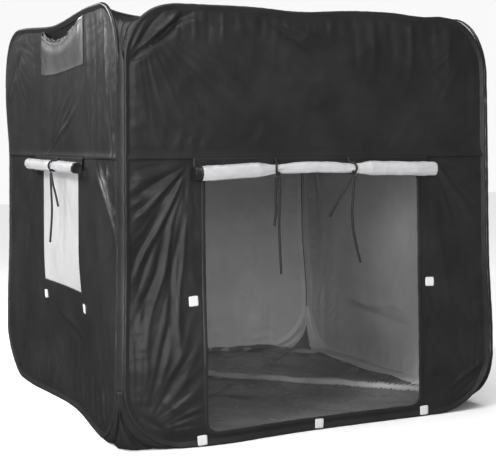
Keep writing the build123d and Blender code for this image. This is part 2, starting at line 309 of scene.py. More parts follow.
def cloth_height(side, u, v):
    """How far the cloth stands off its flat place."""
    seed = {"front": 100, "left": 200, "right": 300, "back": 400}[side]
    inside = edge_distance(side, u, v)
    height = CALM[side] * crumple(u, v, seed)
    for fold in FOLDS[side]:
        height = height + fold.at(u, v)
    reach = HALF[side] - 30
    for k, origin in enumerate(((-reach, 30), (reach, 30), (-reach, HEIGHT - 30), (reach, HEIGHT - 30))):
        corner = 1.5 if side == "front" and k >= 2 else 4.5 * CALM[side]
        height = height + rays(u, v, origin, corner, 130, seed + 60 + 4 * k)
    if side == "front":
        for k, origin in enumerate(((-284, 570), (290, 570))):
            height = height + rays(u, v, origin, 3.2 - k, 150, seed + 80 + 4 * k) * (v < BAND_SEAM)
    # puckers square to the hoop all round
    near_side = smooth((np.abs(u) - HALF[side] + PUCKER_REACH) / 60)
    near_end = smooth((np.abs(v - HEIGHT / 2) - HEIGHT / 2 + PUCKER_REACH) / 60)
    height = height + PUCKER[side] * near_side * noise(u / 120, v / 16, seed + 50)
    height = height + PUCKER[side] * near_end * noise(u / 16, v / 120, seed + 51)
    # the band seam is drawn straight by its stitching, and the openings by their edges
    height = height * (1 - 0.65 * bump(v, BAND_SEAM, 22))
    if side == "front":
        off_door = np.maximum(np.abs(u) - DOOR_HALF, np.maximum(DOOR_SILL - v, v - DOOR_TOP))
        height = height * (0.35 + 0.65 * smooth(off_door / OPENING_REACH))
    if side == "left":
        off_window = np.maximum(np.maximum(WINDOW_LEFT - u, u - WINDOW_RIGHT),
                                np.maximum(WINDOW_BOTTOM - v, v - WINDOW_TOP))
        height = height * (0.4 + 0.6 * smooth(off_window / OPENING_REACH))
        height = height - POCKET_GAP * pocket_gap(u, v)
    return height * smooth((inside - 5) / 30)


def to_world(side, u, v, w):
    out = INNER_FACE[side] + w
    if side == "front":
        return np.stack([u, -out, v], -1)
    if side == "right":
        return np.stack([out, u, v], -1)
    if side == "back":
        return np.stack([-u, out, v], -1)
    return np.stack([-out, -u, v], -1)


def settle(p):
    """Moves points from the drawn box to the way the real tent stands."""
    x, y, z = p[..., 0], p[..., 1], p[..., 2]
    low = smooth((380 - z) / 230)
    top = smooth((z - 620) / 240)
    taper = 1 + TAPER * (0.5 - z / HEIGHT)
    share_x = x / INNER_FACE["left"]
    share_y = y / INNER_FACE["front"]
    # the foot spreads, except at the middle of the window wall, which bows in
    left_flare = FOOT_FLARE - swell(y, WINDOW_BOW) - 8 * smooth((y - 200) / 200)
    flare_x = np.where(x < 0, left_flare, FOOT_FLARE + 4)
    door_bulge = np.clip(8 - 0.06 * x, -12, 20) + swell(x, JAMB_SWELL)
    flare_y = np.where(y < 0, door_bulge, FOOT_FLARE / 2)
    drift = JAMB_DRIFT * swell(x, JAMB_SWELL) * (y < 0) * share_y ** 2
    moved_x = x * taper + low * (flare_x * share_x * np.abs(share_x) - drift)
    moved_y = y * taper + low * flare_y * share_y * np.abs(share_y)
    # the hoops spring outwards: the back edge of the window wall, and the whole right side
    far_left = smooth(z / 120) * smooth((y - 190) / 250) * (x < 0)
    moved_x = moved_x + (8 + 9 * smooth((z - 560) / 180)) * far_left * share_x
    moved_x = moved_x + RIGHT_SPRING * (x > 0) * share_x ** 4
    # the right front corner is pulled round at the foot and at the top
    round_corner = 26 * np.exp(-np.maximum(z, 0) / 32) + 9 * np.exp(-np.maximum(HEIGHT - z, 0) / 60)
    moved_x = moved_x - round_corner * (x > 0) * share_x ** 6 * smooth((-y - 250) / 150)
    # each top run sags in its middle, and the corners of the window wall stand up
    front_sag = swell(x, FRONT_SAGS[0]) - 4.5 + swell(x, FRONT_SAGS[1]) - 5 * smooth((x - 320) / 60)
    left_sag = 5 - 15 * smooth(np.abs(y - 30) / 300)
    right_sag = 4 * np.maximum(0, 1 - (y / 300) ** 2) * smooth(x / 300)
    sag = front_sag + left_sag * smooth((-x - 290) / 120) + right_sag
    return np.stack([moved_x, moved_y, z - top * sag], -1)


def on_wall(side, u, v, w):
    return settle(to_world(side, np.asarray(u, float), np.asarray(v, float), np.asarray(w, float)))


# ---------------- materials
def new_material(name, colour, roughness, **sockets):
    material = bpy.data.materials.new(name)
    material.use_nodes = True
    shader = material.node_tree.nodes["Principled BSDF"]
    shader.inputs["Base Color"].default_value = (*colour, 1)
    shader.inputs["Roughness"].default_value = roughness
    for socket, value in sockets.items():
        shader.inputs[socket.replace("_", " ")].default_value = value
    return material, shader


def add_node(material, kind, **settings):
    node = material.node_tree.nodes.new(kind)
    for key, value in settings.items():
        if key in node.inputs:
            node.inputs[key].default_value = value
        else:
            setattr(node, key, value)
    return node


def link(material, source, target):
    material.node_tree.links.new(source, target)


def add_cloud(material, place, **settings):
    cloud = add_node(material, "ShaderNodeTexNoise", **settings)
    link(material, place.outputs["Object"], cloud.inputs["Vector"])
    return cloud


THREAD_PITCH = 0.0011
THREAD_DEPTH = 0.0002


def mottle(material, shader, dark, light, scale):
    """Uneven colour over the piece."""
    place = add_node(material, "ShaderNodeTexCoord")
    cloud = add_cloud(material, place, Scale=scale, Detail=4.0, Roughness=0.6)
    ramp = add_node(material, "ShaderNodeValToRGB")
    for stop, position, colour in zip(ramp.color_ramp.elements, (0.35, 0.65), (dark, light)):
        stop.position = position
        stop.color = (*colour, 1)
    link(material, cloud.outputs["Fac"], ramp.inputs["Fac"])
    link(material, ramp.outputs["Color"], shader.inputs["Base Color"])
    return place


def uneven_gloss(material, shader, place, low, high, scale):
    cloud = add_cloud(material, place, Scale=scale, Detail=3.0)
    spread = add_node(material, "ShaderNodeMapRange")
    spread.inputs["To Min"].default_value = low
    spread.inputs["To Max"].default_value = high
    link(material, cloud.outputs["Fac"], spread.inputs["Value"])
    link(material, spread.outputs["Result"], shader.inputs["Roughness"])


def weave(material, shader, place, wrinkle_depth):
    """Threads both ways, and a fine wrinkling over them."""
    threads = []
    for axis in ("DIAGONAL", "Z"):
        wave = add_node(material, "ShaderNodeTexWave", Scale=1 / (6.2 * THREAD_PITCH), bands_direction=axis)
        link(material, place.outputs["Object"], wave.inputs["Vector"])
        threads.append(wave)
    both = add_node(material, "ShaderNodeMath", operation="ADD")
    for wave, socket in zip(threads, both.inputs):
        link(material, wave.outputs["Fac"], socket)
    cloth = add_node(material, "ShaderNodeBump", Distance=THREAD_DEPTH, Strength=0.35)
    link(material, both.outputs[0], cloth.inputs["Height"])
    cloud = add_cloud(material, place, Scale=48.0, Detail=5.0, Distortion=0.6)
    wrinkle = add_node(material, "ShaderNodeBump", Distance=wrinkle_depth, Strength=0.6)
    link(material, cloud.outputs["Fac"], wrinkle.inputs["Height"])
    link(material, cloth.outputs["Normal"], wrinkle.inputs["Normal"])
    link(material, wrinkle.outputs["Normal"], shader.inputs["Normal"])


def satin(name, dark, light, roughness, wrinkle=0.0012, **sockets):
    """Woven cloth between two tones; each is a grey, or a red, green and blue."""
    dark, light = (np.broadcast_to(tone, 3).tolist() for tone in (dark, light))
    material, shader = new_material(name, light, roughness, **sockets)
    place = mottle(material, shader, dark, light, 9.0)
    uneven_gloss(material, shader, place, roughness - 0.06, roughness + 0.08, 14.0)
    weave(material, shader, place, wrinkle)
    return material


OUTER = satin("outer_satin", (0.014, 0.014, 0.0145), (0.020, 0.020, 0.0205), 0.33, IOR=1.33)
LINING = satin("silver_lining", 0.50, 0.57, 0.42)
PIPING = satin("sleeve_satin", (0.015, 0.015, 0.0155), (0.022, 0.022, 0.0225), 0.34, 0.0008, IOR=1.35)
WELT = satin("welt_tape", (0.014, 0.014, 0.0145), (0.026, 0.026, 0.027), 0.6, 0.0004)
FLOOR = satin("floor_fabric", (0.13, 0.13, 0.132), (0.18, 0.18, 0.183), 0.25)
# painted highlight: a lighter grey for the steep faces of the floor's folds, in place of the shine they catch
FLOOR_RIDGE_HIGHLIGHT = satin("floor_painted_ridge_highlight", (0.28, 0.28, 0.283), (0.42, 0.42, 0.423), 0.32)
# the flap's silver lining, a darker grey than the same lining inside the walls: painted shade that tones down
# the lamp-lit rolls
ROLL = satin("flap_lining_painted_shade", (0.36, 0.36, 0.368), (0.47, 0.47, 0.478), 0.28, 0.0008)
# the pocket is the same black satin painted several times lighter: painted light, for the light it catches
# facing upwards
POCKET = satin("pocket_satin_painted_light", (0.045, 0.045, 0.046), (0.075, 0.075, 0.076), 0.36)
TAPE = satin("tie_tape_cloth", 0.008, 0.015, 0.7, 0.0003)
HOOK = satin("hook_tape", 0.46, 0.60, 0.75, 0.0010)


def film_material():
    material, shader = new_material("frosted_film", (0.62, 0.62, 0.62), 0.35, Transmission_Weight=0.2)
    place = mottle(material, shader, (0.48, 0.48, 0.48), (0.56, 0.56, 0.56), 6.0)
    uneven_gloss(material, shader, place, 0.28, 0.45, 20.0)
    return material


def steel_material():
    material, shader = new_material("spring_steel_wire", (0.45, 0.45, 0.46), 0.3, Metallic=1.0)
    place = mottle(material, shader, (0.34, 0.34, 0.35), (0.55, 0.55, 0.56), 40.0)
    uneven_gloss(material, shader, place, 0.22, 0.4, 90.0)
    return material


FILM = film_material()
STEEL = steel_material()


# ---------------- meshes
def add_object(name, data):
    obj = bpy.data.objects.new(name, data)
    bpy.context.scene.collection.objects.link(obj)
    return obj


def add_mesh(name, points, faces, materials, face_materials=None):
    """A mesh object from points in millimetres."""
    used = np.unique(np.concatenate([np.ravel(f) for f in faces]))
    renumber = np.full(len(points), -1)
    renumber[used] = np.arange(len(used))
    polygons = [tuple(renumber[list(face)]) for face in faces]
    mesh = bpy.data.meshes.new(name)
    mesh.from_pydata((points[used] * MM).tolist(), [], polygons)
    for material in materials:
        mesh.materials.append(material)
    if face_materials is not None:
        mesh.polygons.foreach_set("material_index", np.asarray(face_materials, np.int32))
    mesh.polygons.foreach_set("use_smooth", np.ones(len(polygons), bool))
    mesh.update()
    return add_object(name, mesh)


def cloth_mesh(name, p, back, materials, keep=None, back_material=1):
    """A closed cloth from the grids of points of its face and back, with a rim at every edge."""
    rows, cols = p.shape[:2]
    keep = np.ones((rows - 1, cols - 1), bool) if keep is None else keep
    count = rows * cols
    index = np.arange(count).reshape(rows, cols)
    a, b, c, d = index[:-1, :-1], index[:-1, 1:], index[1:, 1:], index[1:, :-1]
    face = np.stack([a, b, c, d], -1)[keep]
    padded = np.pad(keep, 1)
    rims = []
    for start, end, neighbour in ((a, b, padded[:-2, 1:-1]), (b, c, padded[1:-1, 2:]),
                                  (c, d, padded[2:, 1:-1]), (d, a, padded[1:-1, :-2])):
        edge = keep & ~neighbour
        s, e = start[edge], end[edge]
        rims.append(np.stack([e, s, s + count, e + count], -1))
    rim = np.concatenate(rims)
    faces = np.concatenate([face, face[:, ::-1] + count, rim])
    behind = np.broadcast_to(back_material, keep.shape)[keep]
    numbers = np.concatenate([np.zeros(len(face)), behind, np.zeros(len(rim))])
    points = np.concatenate([p.reshape(-1, 3), back.reshape(-1, 3)])
    return add_mesh(name, points, faces, materials, numbers)


def wall_cloth(name, side, u, v, w, thick, materials, keep=None):
    """A cloth that lies along a wall, w off it."""
    return cloth_mesh(name, on_wall(side, u, v, w), on_wall(side, u, v, w - thick), materials, keep)


def rings_mesh(name, rings, materials, ring_material=None, closed=False, side_material=None):
    """A tube from rings of points; its ends are closed with a fan unless it joins up."""
    count, sides = rings.shape[:2]
    index = np.arange(count * sides).reshape(count, sides)
    after = np.roll(index, -1, axis=0) if closed else index[1:]
    here = index if closed else index[:-1]
    quads = np.stack([here, np.roll(here, -1, axis=1), np.roll(after, -1, axis=1), after], -1)
    faces = [tuple(q) for q in quads.reshape(-1, 4)]
    on_rings = np.zeros(count, int) if ring_material is None else ring_material
    numbers = list(np.repeat(on_rings[:len(here)], sides))
    if side_material is not None:
        numbers = list(np.tile(side_material, len(here)))
    points = rings.reshape(-1, 3)
    if not closed:
        for ring, turned in ((0, -1), (count - 1, 1)):
            middle = len(points)
            points = np.concatenate([points, rings[ring].mean(0, keepdims=True)])
            pairs = zip(index[ring], np.roll(index[ring], -1))
            faces += [(middle, *pair[::turned]) for pair in pairs]
            numbers += [on_rings[ring]] * sides
    return add_mesh(name, points, faces, materials, numbers)


def finish_piece(obj, body, slot, *nodes):
    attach(obj, body)
    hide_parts(*nodes)


# ---------------- walls
def wall_grid(side, v, middle_step):
    """Grid places for rows of height v: even in the middle, drawn together inside the corners."""
    steps = int((HALF[side] - HOOP_RADIUS - 12) / middle_step)
    flat_half = steps * middle_step
    inner = np.arange(-steps, steps + 1) * middle_step
    share = np.linspace(0, 1, 1 + math.ceil((HALF[side] - flat_half) / middle_step))[1:]
    outer = flat_half + share[None, :] * (half_width(side, v, TUBE_MID)[:, None] - flat_half)
    u = np.concatenate([-outer[:, ::-1], np.repeat(inner[None, :], len(v), 0), outer], axis=1)
    return u, np.repeat(v[:, None], u.shape[1], 1)


def span(low, high, step):
    return np.linspace(low, high, 1 + max(1, round((high - low) / step)))


def stops(step, *marks):
    """Places from the first mark to the last, with one at every mark."""
    runs = [span(low, high, step) for low, high in zip(marks, marks[1:])]
    return np.concatenate([runs[0]] + [run[1:] for run in runs[1:]])


def in_rounded(u, v, u_low, u_high, v_low, v_high, corner):
    a = np.abs(u - (u_low + u_high) / 2) - ((u_high - u_low) / 2 - corner)
    b = np.abs(v - (v_low + v_high) / 2) - ((v_high - v_low) / 2 - corner)
    return np.hypot(np.maximum(a, 0), np.maximum(b, 0)) + np.minimum(np.maximum(a, b), 0) < corner


LAP = 4          # the upper cloth laps this far over the lower at the band seam
RIM = BINDING / 2
OPENING = {
    # wall: low u, high u, low v, high v and corner radius of the hole in its cloth
    "front": (-DOOR_HALF - RIM, DOOR_HALF + RIM, DOOR_SILL - RIM, DOOR_TOP + RIM, DOOR_CORNER + RIM),
    "left": (WINDOW_LEFT, WINDOW_RIGHT, WINDOW_BOTTOM, WINDOW_TOP, 6),
}
STEP = {"front": (DOOR_HALF + RIM) / 74, "left": 4, "right": 5, "back": 6}
ROW_STEP = {"front": 3.4, "left": 4, "right": 5, "back": 5}
BODY = {"front": "front_wall", "right": "right_wall", "back": "back_wall", "left": "left_wall"}


def seam_lap(v):
    """The flat double lap of the band seam."""
    return 1.3 * np.exp(-(((v - BAND_SEAM + 1) / 5) ** 4))


def make_upper_cloth(side):
    near_seam = span(BAND_SEAM - LAP, BAND_SEAM + 16, 2.5)
    v = np.concatenate([near_seam, span(BAND_SEAM + 19, HEIGHT - TUBE_MID, 3.6)])
    u, rows = wall_grid(side, v, STEP[side])
    over = 1.0 * smooth((BAND_SEAM + 14 - rows) / 10)
    w = CLOTH_OUT + over + seam_lap(rows) + cloth_height(side, u, rows)
    obj = wall_cloth(f"tent_{side}_upper_cloth", side, u, rows, w, CLOTH_THICK, (OUTER, LINING))
    finish_piece(obj, BODY[side], "outer_cloth", f"{side}_upper_cloth")


def make_lower_cloth(side):
    opening = OPENING.get(side)
    marks = (TUBE_MID, *opening[2:4], BAND_SEAM) if opening else (TUBE_MID, BAND_SEAM)
    u, rows = wall_grid(side, stops(ROW_STEP[side], *marks), STEP[side])
    w = CLOTH_OUT + cloth_height(side, u, rows)
    keep, area = None, 2 * HALF[side] * BAND_SEAM
    if opening:
        keep = ~in_rounded((u[:-1, :-1] + u[1:, 1:]) / 2, (rows[:-1, :-1] + rows[1:, 1:]) / 2, *opening)
        area -= (opening[1] - opening[0]) * (opening[3] - opening[2])
    obj = wall_cloth(f"tent_{side}_lower_cloth", side, u, rows, w, CLOTH_THICK, (OUTER, LINING), keep)
    finish_piece(obj, BODY[side], "outer_cloth", f"{side}_lower_cloth")


def rounded_loop(u_low, u_high, v_low, v_high, corner, step):
    """Points round a rounded rectangle, anticlockwise seen from outside, with outward normals."""
    points, normals = [], []
    corners = ((u_high - corner, v_low + corner, -90), (u_high - corner, v_high - corner, 0),
               (u_low + corner, v_high - corner, 90), (u_low + corner, v_low + corner, 180))
    for k, (cu, cv, start) in enumerate(corners):
        for turn in np.radians(span(start, start + 90, math.degrees(step / corner))):
            points.append((cu + corner * math.cos(turn), cv + corner * math.sin(turn)))
            normals.append((math.cos(turn), math.sin(turn)))
        next_u, next_v, next_start = corners[(k + 1) % 4]
        out = (math.cos(math.radians(next_start)), math.sin(math.radians(next_start)))
        begin = np.array(points[-1])
        end = np.array((next_u + corner * out[0], next_v + corner * out[1]))
        for share in span(0, 1, step / np.linalg.norm(end - begin))[1:-1]:
            points.append(tuple(begin + share * (end - begin)))
            normals.append(out)
    return np.array(points), np.array(normals)


def loop_rings(side, points, normals, section, follow=0.0):
    """Rings of a section, (outwards, off the wall), carried round a loop on a wall."""
    u = points[:, None, 0] + normals[:, None, 0] * section[..., 0]
    v = points[:, None, 1] + normals[:, None, 1] * section[..., 0]
    lift = cloth_height(side, points[:, 0], points[:, 1])[:, None] * follow
    return on_wall(side, u, v, section[..., 1] + lift)


LOOP_STEP = 5.0
SLEEVE_RADIUS = 4.4
WIRE_RADIUS = 1.6
CRIMP_HALF = 14     # the ferrule that closes a hoop reaches this far each way


def hoop_loop(side, step):
    """The line of a wall's hoop."""
    return rounded_loop(-HALF[side] + TUBE_MID, HALF[side] - TUBE_MID, TUBE_MID, HEIGHT - TUBE_MID,
                        HOOP_RADIUS - TUBE_MID, step)


def make_sleeve(side):
    points, normals = hoop_loop(side, LOOP_STEP)
    run = np.arange(len(points))[:, None] * LOOP_STEP
    turn = ring_turns(20)
    pucker = 1 + 0.10 * noise(run / 13, turn[None, :] * 0.8, 7)
    pucker = pucker + 0.06 * noise(run / 40, turn[None, :] * 0.5, 8)
    radius = SLEEVE_RADIUS * pucker
    # towards the wall the round sleeve draws out into the flat of its seam
    to_wall = np.maximum(0, -np.cos(turn))
    out = radius * np.cos(turn) - 5.5 * to_wall ** 3
    off = TUBE_MID + radius * np.sin(turn) * (1 - 0.45 * to_wall)
    threshold = -0.15 if side in ("right", "back") else -0.6
    half_side = math.pi / len(turn)
    lining = ((np.sin(turn + half_side) < threshold) & (np.cos(turn) < 0.15)).astype(int)
    rings = loop_rings(side, points, normals, np.stack([out, off], -1))
    obj = rings_mesh(f"tent_{side}_sleeve", rings, (PIPING, LINING), closed=True, side_material=lining)
    finish_piece(obj, BODY[side], "edge_sleeve", f"{side}_sleeve")


def make_hoop(side):
    points, normals = hoop_loop(side, 9)
    turn = ring_turns(10)
    wire = np.stack([WIRE_RADIUS * np.cos(turn), TUBE_MID + WIRE_RADIUS * np.sin(turn)], -1)
    wire = np.repeat(wire[None], len(points), 0)
    obj = rings_mesh(f"tent_{side}_hoop", loop_rings(side, points, normals, wire), (STEEL,), closed=True)
    finish_piece(obj, BODY[side], "spring_steel", f"{side}_hoop")
    along = span(-CRIMP_HALF, CRIMP_HALF, 4)
    crimp = 2.2 - 0.25 * np.cos(along / CRIMP_HALF * 2 * math.pi)[:, None]
    u = np.repeat(along[:, None], len(turn), 1)
    rings = on_wall(side, u, TUBE_MID - crimp * np.cos(turn), TUBE_MID + crimp * np.sin(turn))
    obj = rings_mesh(f"tent_{side}_hoop_ferrule", rings, (STEEL,))
    finish_piece(obj, BODY[side], "crimp", f"{side}_hoop_ferrule")


def make_binding():
    points, normals = rounded_loop(*OPENING["front"], LOOP_STEP)
    turn = ring_turns(14)
    run = np.arange(len(points))[:, None] * LOOP_STEP
    puff = 1 + 0.12 * noise(run / 16, turn[None, :], 17)
    out, off = (half * np.sign(part) * np.abs(part) ** 0.6 * puff
                for half, part in ((4.3, np.cos(turn)), (1.9, np.sin(turn))))
    rings = loop_rings("front", points, normals, np.stack([out, TUBE_MID + off], -1), follow=1.0)
    obj = rings_mesh("tent_doorway_binding", rings, (PIPING,), closed=True)
    finish_piece(obj, "front_wall", "edge_sleeve", "doorway_binding")


WELT_OUT = 3.4    # the welt lies this far outside the seam, between the two sleeves


def make_welts():
    places = {"front_left": (-1, -1, "front_wall"), "front_right": (1, -1, "front_wall"),
              "back_right": (1, 1, "right_wall"), "back_left": (-1, 1, "back_wall")}
    z = span(HOOP_RADIUS - 30, HEIGHT - HOOP_RADIUS + 30, 7)
    turn = ring_turns(12)
    for name, (sign_x, sign_y, body) in places.items():
        puff = 1 + 0.2 * noise(z[:, None] / 18, turn[None, :] * 0.6, 31)
        puff = puff * (0.05 + smooth(np.minimum(z - z[0], z[-1] - z) / 30))[:, None]
        along, thick = 8.5 * np.cos(turn) * puff, 1.3 * np.sin(turn) * puff
        x = sign_x * (SEAM_X + WELT_OUT + (along + thick) / math.sqrt(2))
        y = sign_y * (SEAM_Y + WELT_OUT + (thick - along) / math.sqrt(2))
        rings = settle(np.stack([x, y, np.repeat(z[:, None], len(turn), 1)], -1))
        obj = rings_mesh(f"tent_corner_welt_{name}", rings, (PIPING, LINING),
                         side_material=(np.sin(turn + 0.2) < 0).astype(int))
        finish_piece(obj, body, "seam_welt", f"corner_welt_{name}")


# ---------------- corner gussets
GUSSETS = {
    # name: sign x, sign y, bodies of the two walls (None where the pair has no joint)
    "front_left": (-1, -1, ("front_wall", "left_wall")),
    "front_right": (1, -1, ("front_wall", "right_wall")),
    "back_right": (1, 1, ("back_wall", "right_wall")),
    "back_left": (-1, 1, None),
}
# How far the bottom gussets swell out, and how far the roof dips behind the top ones
POUCH = {"front_left": 42, "front_right": -6, "back_right": -6, "back_left": 8}
DIP = {"front_left": 23, "front_right": 20, "back_right": 22, "back_left": 22}
OFF_GROUND = 1.5
LEGS_MEET = 100


def carry_gusset(obj, name):
    """Hangs a gusset between its two walls."""
    sign_x, sign_y, pair = GUSSETS[name]
    if pair:
        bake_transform(obj)
        return
    # between two walls that close on each other it gathers inside the back hoop's round corner
    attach(obj, "back_wall")
    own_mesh(obj)


def make_gusset(name, top):
    """The cloth between the round corners of two walls, at the top or the bottom."""
    sign_x, sign_y, _ = GUSSETS[name]
    where = "top" if top else "bottom"
    seed = (10 if top else 20) + len(name)
    turn = np.radians(span(1, 88, 2.2))[:, None]
    across = np.linspace(0, 1, 44)[None, :]
    arc = HOOP_RADIUS - TUBE_MID
    along = arc * np.sin(turn) - HOOP_RADIUS
    z = HEIGHT - HOOP_RADIUS + arc * np.cos(turn) if top else HOOP_RADIUS - arc * np.cos(turn)
    front = [sign_x * (HALF["front"] + along), sign_y * (INNER_FACE["front"] + TUBE_MID), z]
    side = [sign_x * (INNER_FACE["left"] + TUBE_MID), sign_y * (HALF["left"] + along), z]
    front, side = (np.stack(np.broadcast_arrays(*edge, z + 0 * across)[:3], -1) for edge in (front, side))
    p = front + (side - front) * across[..., None]
    width = np.linalg.norm(side - front, axis=-1)
    belly = np.sin(math.pi * across) ** 0.8
    outwards = np.array([sign_x, sign_y, 0.0]) / math.sqrt(2)
    folds = noise(across * 5.5 + 0.8 * noise(across * 2, turn * 2, seed + 3), turn * 0.7, seed)
    folds = folds + 0.5 * noise(across * 11, turn * 1.6, seed + 1)
    height = 0.07 * width * folds * belly
    if top:
        height = height - 0.05 * width * belly
        p[..., 2] -= belly * (0.04 * width + DIP[name] * np.cos(turn) ** 2)
        p = p + height[..., None] * outwards
    else:
        height = height + POUCH[name] * belly * (width / width.max()) ** 0.6
        p = p + height[..., None] * outwards
        # two ridges lean together from the ground like the legs of an A
        legs = 0.36 * (1 - z / LEGS_MEET)
        ridge = bump(np.abs(across - 0.5) - legs, 0, 0.055) * smooth((LEGS_MEET - z) / 30)
        p = p - (9 * ridge * smooth(belly * 2))[..., None] * outwards
        slump = 0.5 * abs(POUCH[name]) * belly * np.cos(turn) ** 2
        p[..., 2] = np.maximum(p[..., 2] - slump, OFF_GROUND)
    # inside, the floor cloth shows only in a small triangle between the legs
    lining = ((np.abs(across - 0.55) > 0.2 * (1 - z / 70)) | top)[:-1, :-1]
    if sign_x * sign_y < 0:
        p, lining = p[:, ::-1], lining[:, ::-1]
    if not top:
        p, lining = p[::-1], lining[::-1]
    p = settle(p)
    inwards = np.array([-sign_x, -sign_y, -1 if top else 1]) / math.sqrt(3)
    obj = cloth_mesh(f"tent_{where}_gusset_{name}", p, p + inwards, (OUTER, LINING, FLOOR),
                     back_material=np.where(lining, 1, 2))
    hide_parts(f"{where}_gusset_{name}")
    carry_gusset(obj, name)


# ---------------- roof and floor
def gore_edge(side, step):
    """The rim of one quarter of the roof or floor, from one diagonal to the next."""
    half_x, half_y = INNER_FACE["left"] + 2, INNER_FACE["front"] + 2
    cut_x, cut_y = HALF["front"] - HOOP_RADIUS + 8, HALF["left"] - HOOP_RADIUS + 8
    mid_x, mid_y = (half_x + cut_x) / 2, (half_y + cut_y) / 2
    if side in ("front", "back"):
        line = [(-mid_x, -mid_y), (-cut_x, -half_y), (cut_x, -half_y), (mid_x, -mid_y)]
    else:
        line = [(-mid_x, mid_y), (-half_x, cut_y), (-half_x, -cut_y), (-mid_x, -mid_y)]
    sign = 1 if side in ("front", "left") else -1
    points = []
    for begin, end in zip(line, line[1:]):
        begin, end = sign * np.array(begin), sign * np.array(end)
        for share in span(0, 1, step / np.linalg.norm(end - begin))[:-1]:
            points.append(begin + share * (end - begin))
    points.append(sign * np.array(line[-1]))
    return np.array(points)


def roof_height(x, y):
    slack = np.maximum(0, 1 - (x / 430) ** 2) * np.maximum(0, 1 - (y / 470) ** 2)
    to_side = np.maximum(INNER_FACE["left"] - np.abs(x), 0)
    to_end = np.maximum(INNER_FACE["front"] - np.abs(y), 0)
    inwards = to_side + to_end
    between = 4 * to_side * to_end / np.maximum(inwards, 1) ** 2
    at_front = np.where(x < 0, DIP["front_left"], DIP["front_right"])
    depth = np.where(y < 0, at_front, DIP["back_left"])
    dip = depth * between ** 0.8 * bump(np.maximum(inwards - HOOP_RADIUS, 0), 0, 230)
    return HEIGHT - 5 - 16 * slack - dip + (0.8 + 0.8 * slack) * crumple(x, y, 500)


LINING_AND_HIGHLIGHT_RIM_WIDTH = 42       # along the right wall the floor's edge is lining-grey: partly the lining turned onto the floor, partly painted highlight for its shiny folds
GORE_THICK = 0.9

FLOOR_FOLDS = (
    Pleat((470, -365), (-190, 322), 6, 8, 0.8, 2), Pleat((440, -250), (250, -40), 7, 3, 1.0, 3),
    Fold((425, -340), (292, 462), 12, 5, 1.0, 4), Fold((428, -220), (372, 470), 11, 5, 0.6, 6),
    Pleat((330, 452), (-330, 440), 7, 4, 1.0, 5), Fold((-300, 300), (-60, 200), 18, 5, 1.2, 6),
    Fold((-330, -300), (60, -420), 20, 5, 1.0, 8), Fold((180, 260), (300, 60), 14, 4, 1.0, 11),
    Fold((-100, -60), (140, -320), 16, 4, 1.0, 12))


def floor_height(x, y):
    rim = smooth(1 - np.minimum(INNER_FACE["left"] - np.abs(x), INNER_FACE["front"] - np.abs(y)) / 40)
    height = 4.0 + 3 * smooth(crumple(x, y, 600) / 6) + 0.6 * crumple(x, y, 620) + 4 * rim
    for fold in FLOOR_FOLDS:
        height = height + np.maximum(0, fold.at(x, y)) * 2.2
    height = height + rim * 1.2 * noise(x / 40, y / 40, 640)
    return np.maximum(height, 2.6)


def make_gores(node, height_at, material, back, slot, step, lining_and_highlight_side=None, paint_ridge_highlight=False):
    """The roof or floor: four gores that meet in the middle, each on its own wall."""
    for k, side in enumerate(BODY):
        edge = gore_edge(side, step)
        share = np.concatenate([[0.0], span(0.02, 1, step / 600)])[:, None]
        x, y = share * edge[:, 0], share * edge[:, 1]
        p = settle(np.stack([x, y, height_at(x, y) + 0.25 * k], -1))
        rows, cols = p.shape[:2]
        points = np.concatenate([p[:1, 0], p[1:].reshape(-1, 3)])
        count = len(points)
        index = 1 + np.arange(count - 1).reshape(rows - 1, cols)
        tips = [(0, i, j) for i, j in zip(index[0, :-1], index[0, 1:])]
        quads = np.stack([index[:-1, :-1], index[1:, :-1], index[1:, 1:], index[:-1, 1:]], -1)
        upper = tips + [tuple(q) for q in quads.reshape(-1, 4)]
        under = [tuple(i + count for i in face[::-1]) for face in upper]
        outline = [0, *index[:, 0], *index[-1, 1:], *index[-2::-1, -1]]
        rim = [(j, i, i + count, j + count) for i, j in zip(outline, outline[1:] + outline[:1])]
        numbers = np.repeat([0, 1, 0], (len(upper), len(under), len(rim)))
        on_quads = numbers[len(tips):len(upper)]
        # steep faces of the floor's folds get the lighter grey: a painted highlight on the ridges
        if paint_ridge_highlight:
            inner = p[1:]
            across = np.cross(inner[1:, 1:] - inner[:-1, :-1], inner[1:, :-1] - inner[:-1, 1:])
            steep = np.abs(across[..., 2]) < 0.52 * np.linalg.norm(across, axis=-1)
            on_quads[steep.ravel()] = 3
        # lining-grey band on this gore's edge: the lining's foot, and painted highlight standing in for its
        # lit folds
        if side == lining_and_highlight_side:
            on_quads[np.repeat(share[1:-1, 0] > 1 - LINING_AND_HIGHLIGHT_RIM_WIDTH / INNER_FACE[side], cols - 1)] = 2
        obj = add_mesh(f"tent_{node}_{side}", np.concatenate([points, points - [0, 0, GORE_THICK]]),
                       upper + under + rim, (material, back, LINING, FLOOR_RIDGE_HIGHLIGHT), numbers)
        # a flat-shaded rim keeps the two sides of a diagonal alike where they meet
        obj.data.polygons.foreach_set("use_smooth", np.arange(len(numbers)) < 2 * len(upper))
        finish_piece(obj, BODY[side], slot, node)
        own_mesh(obj)


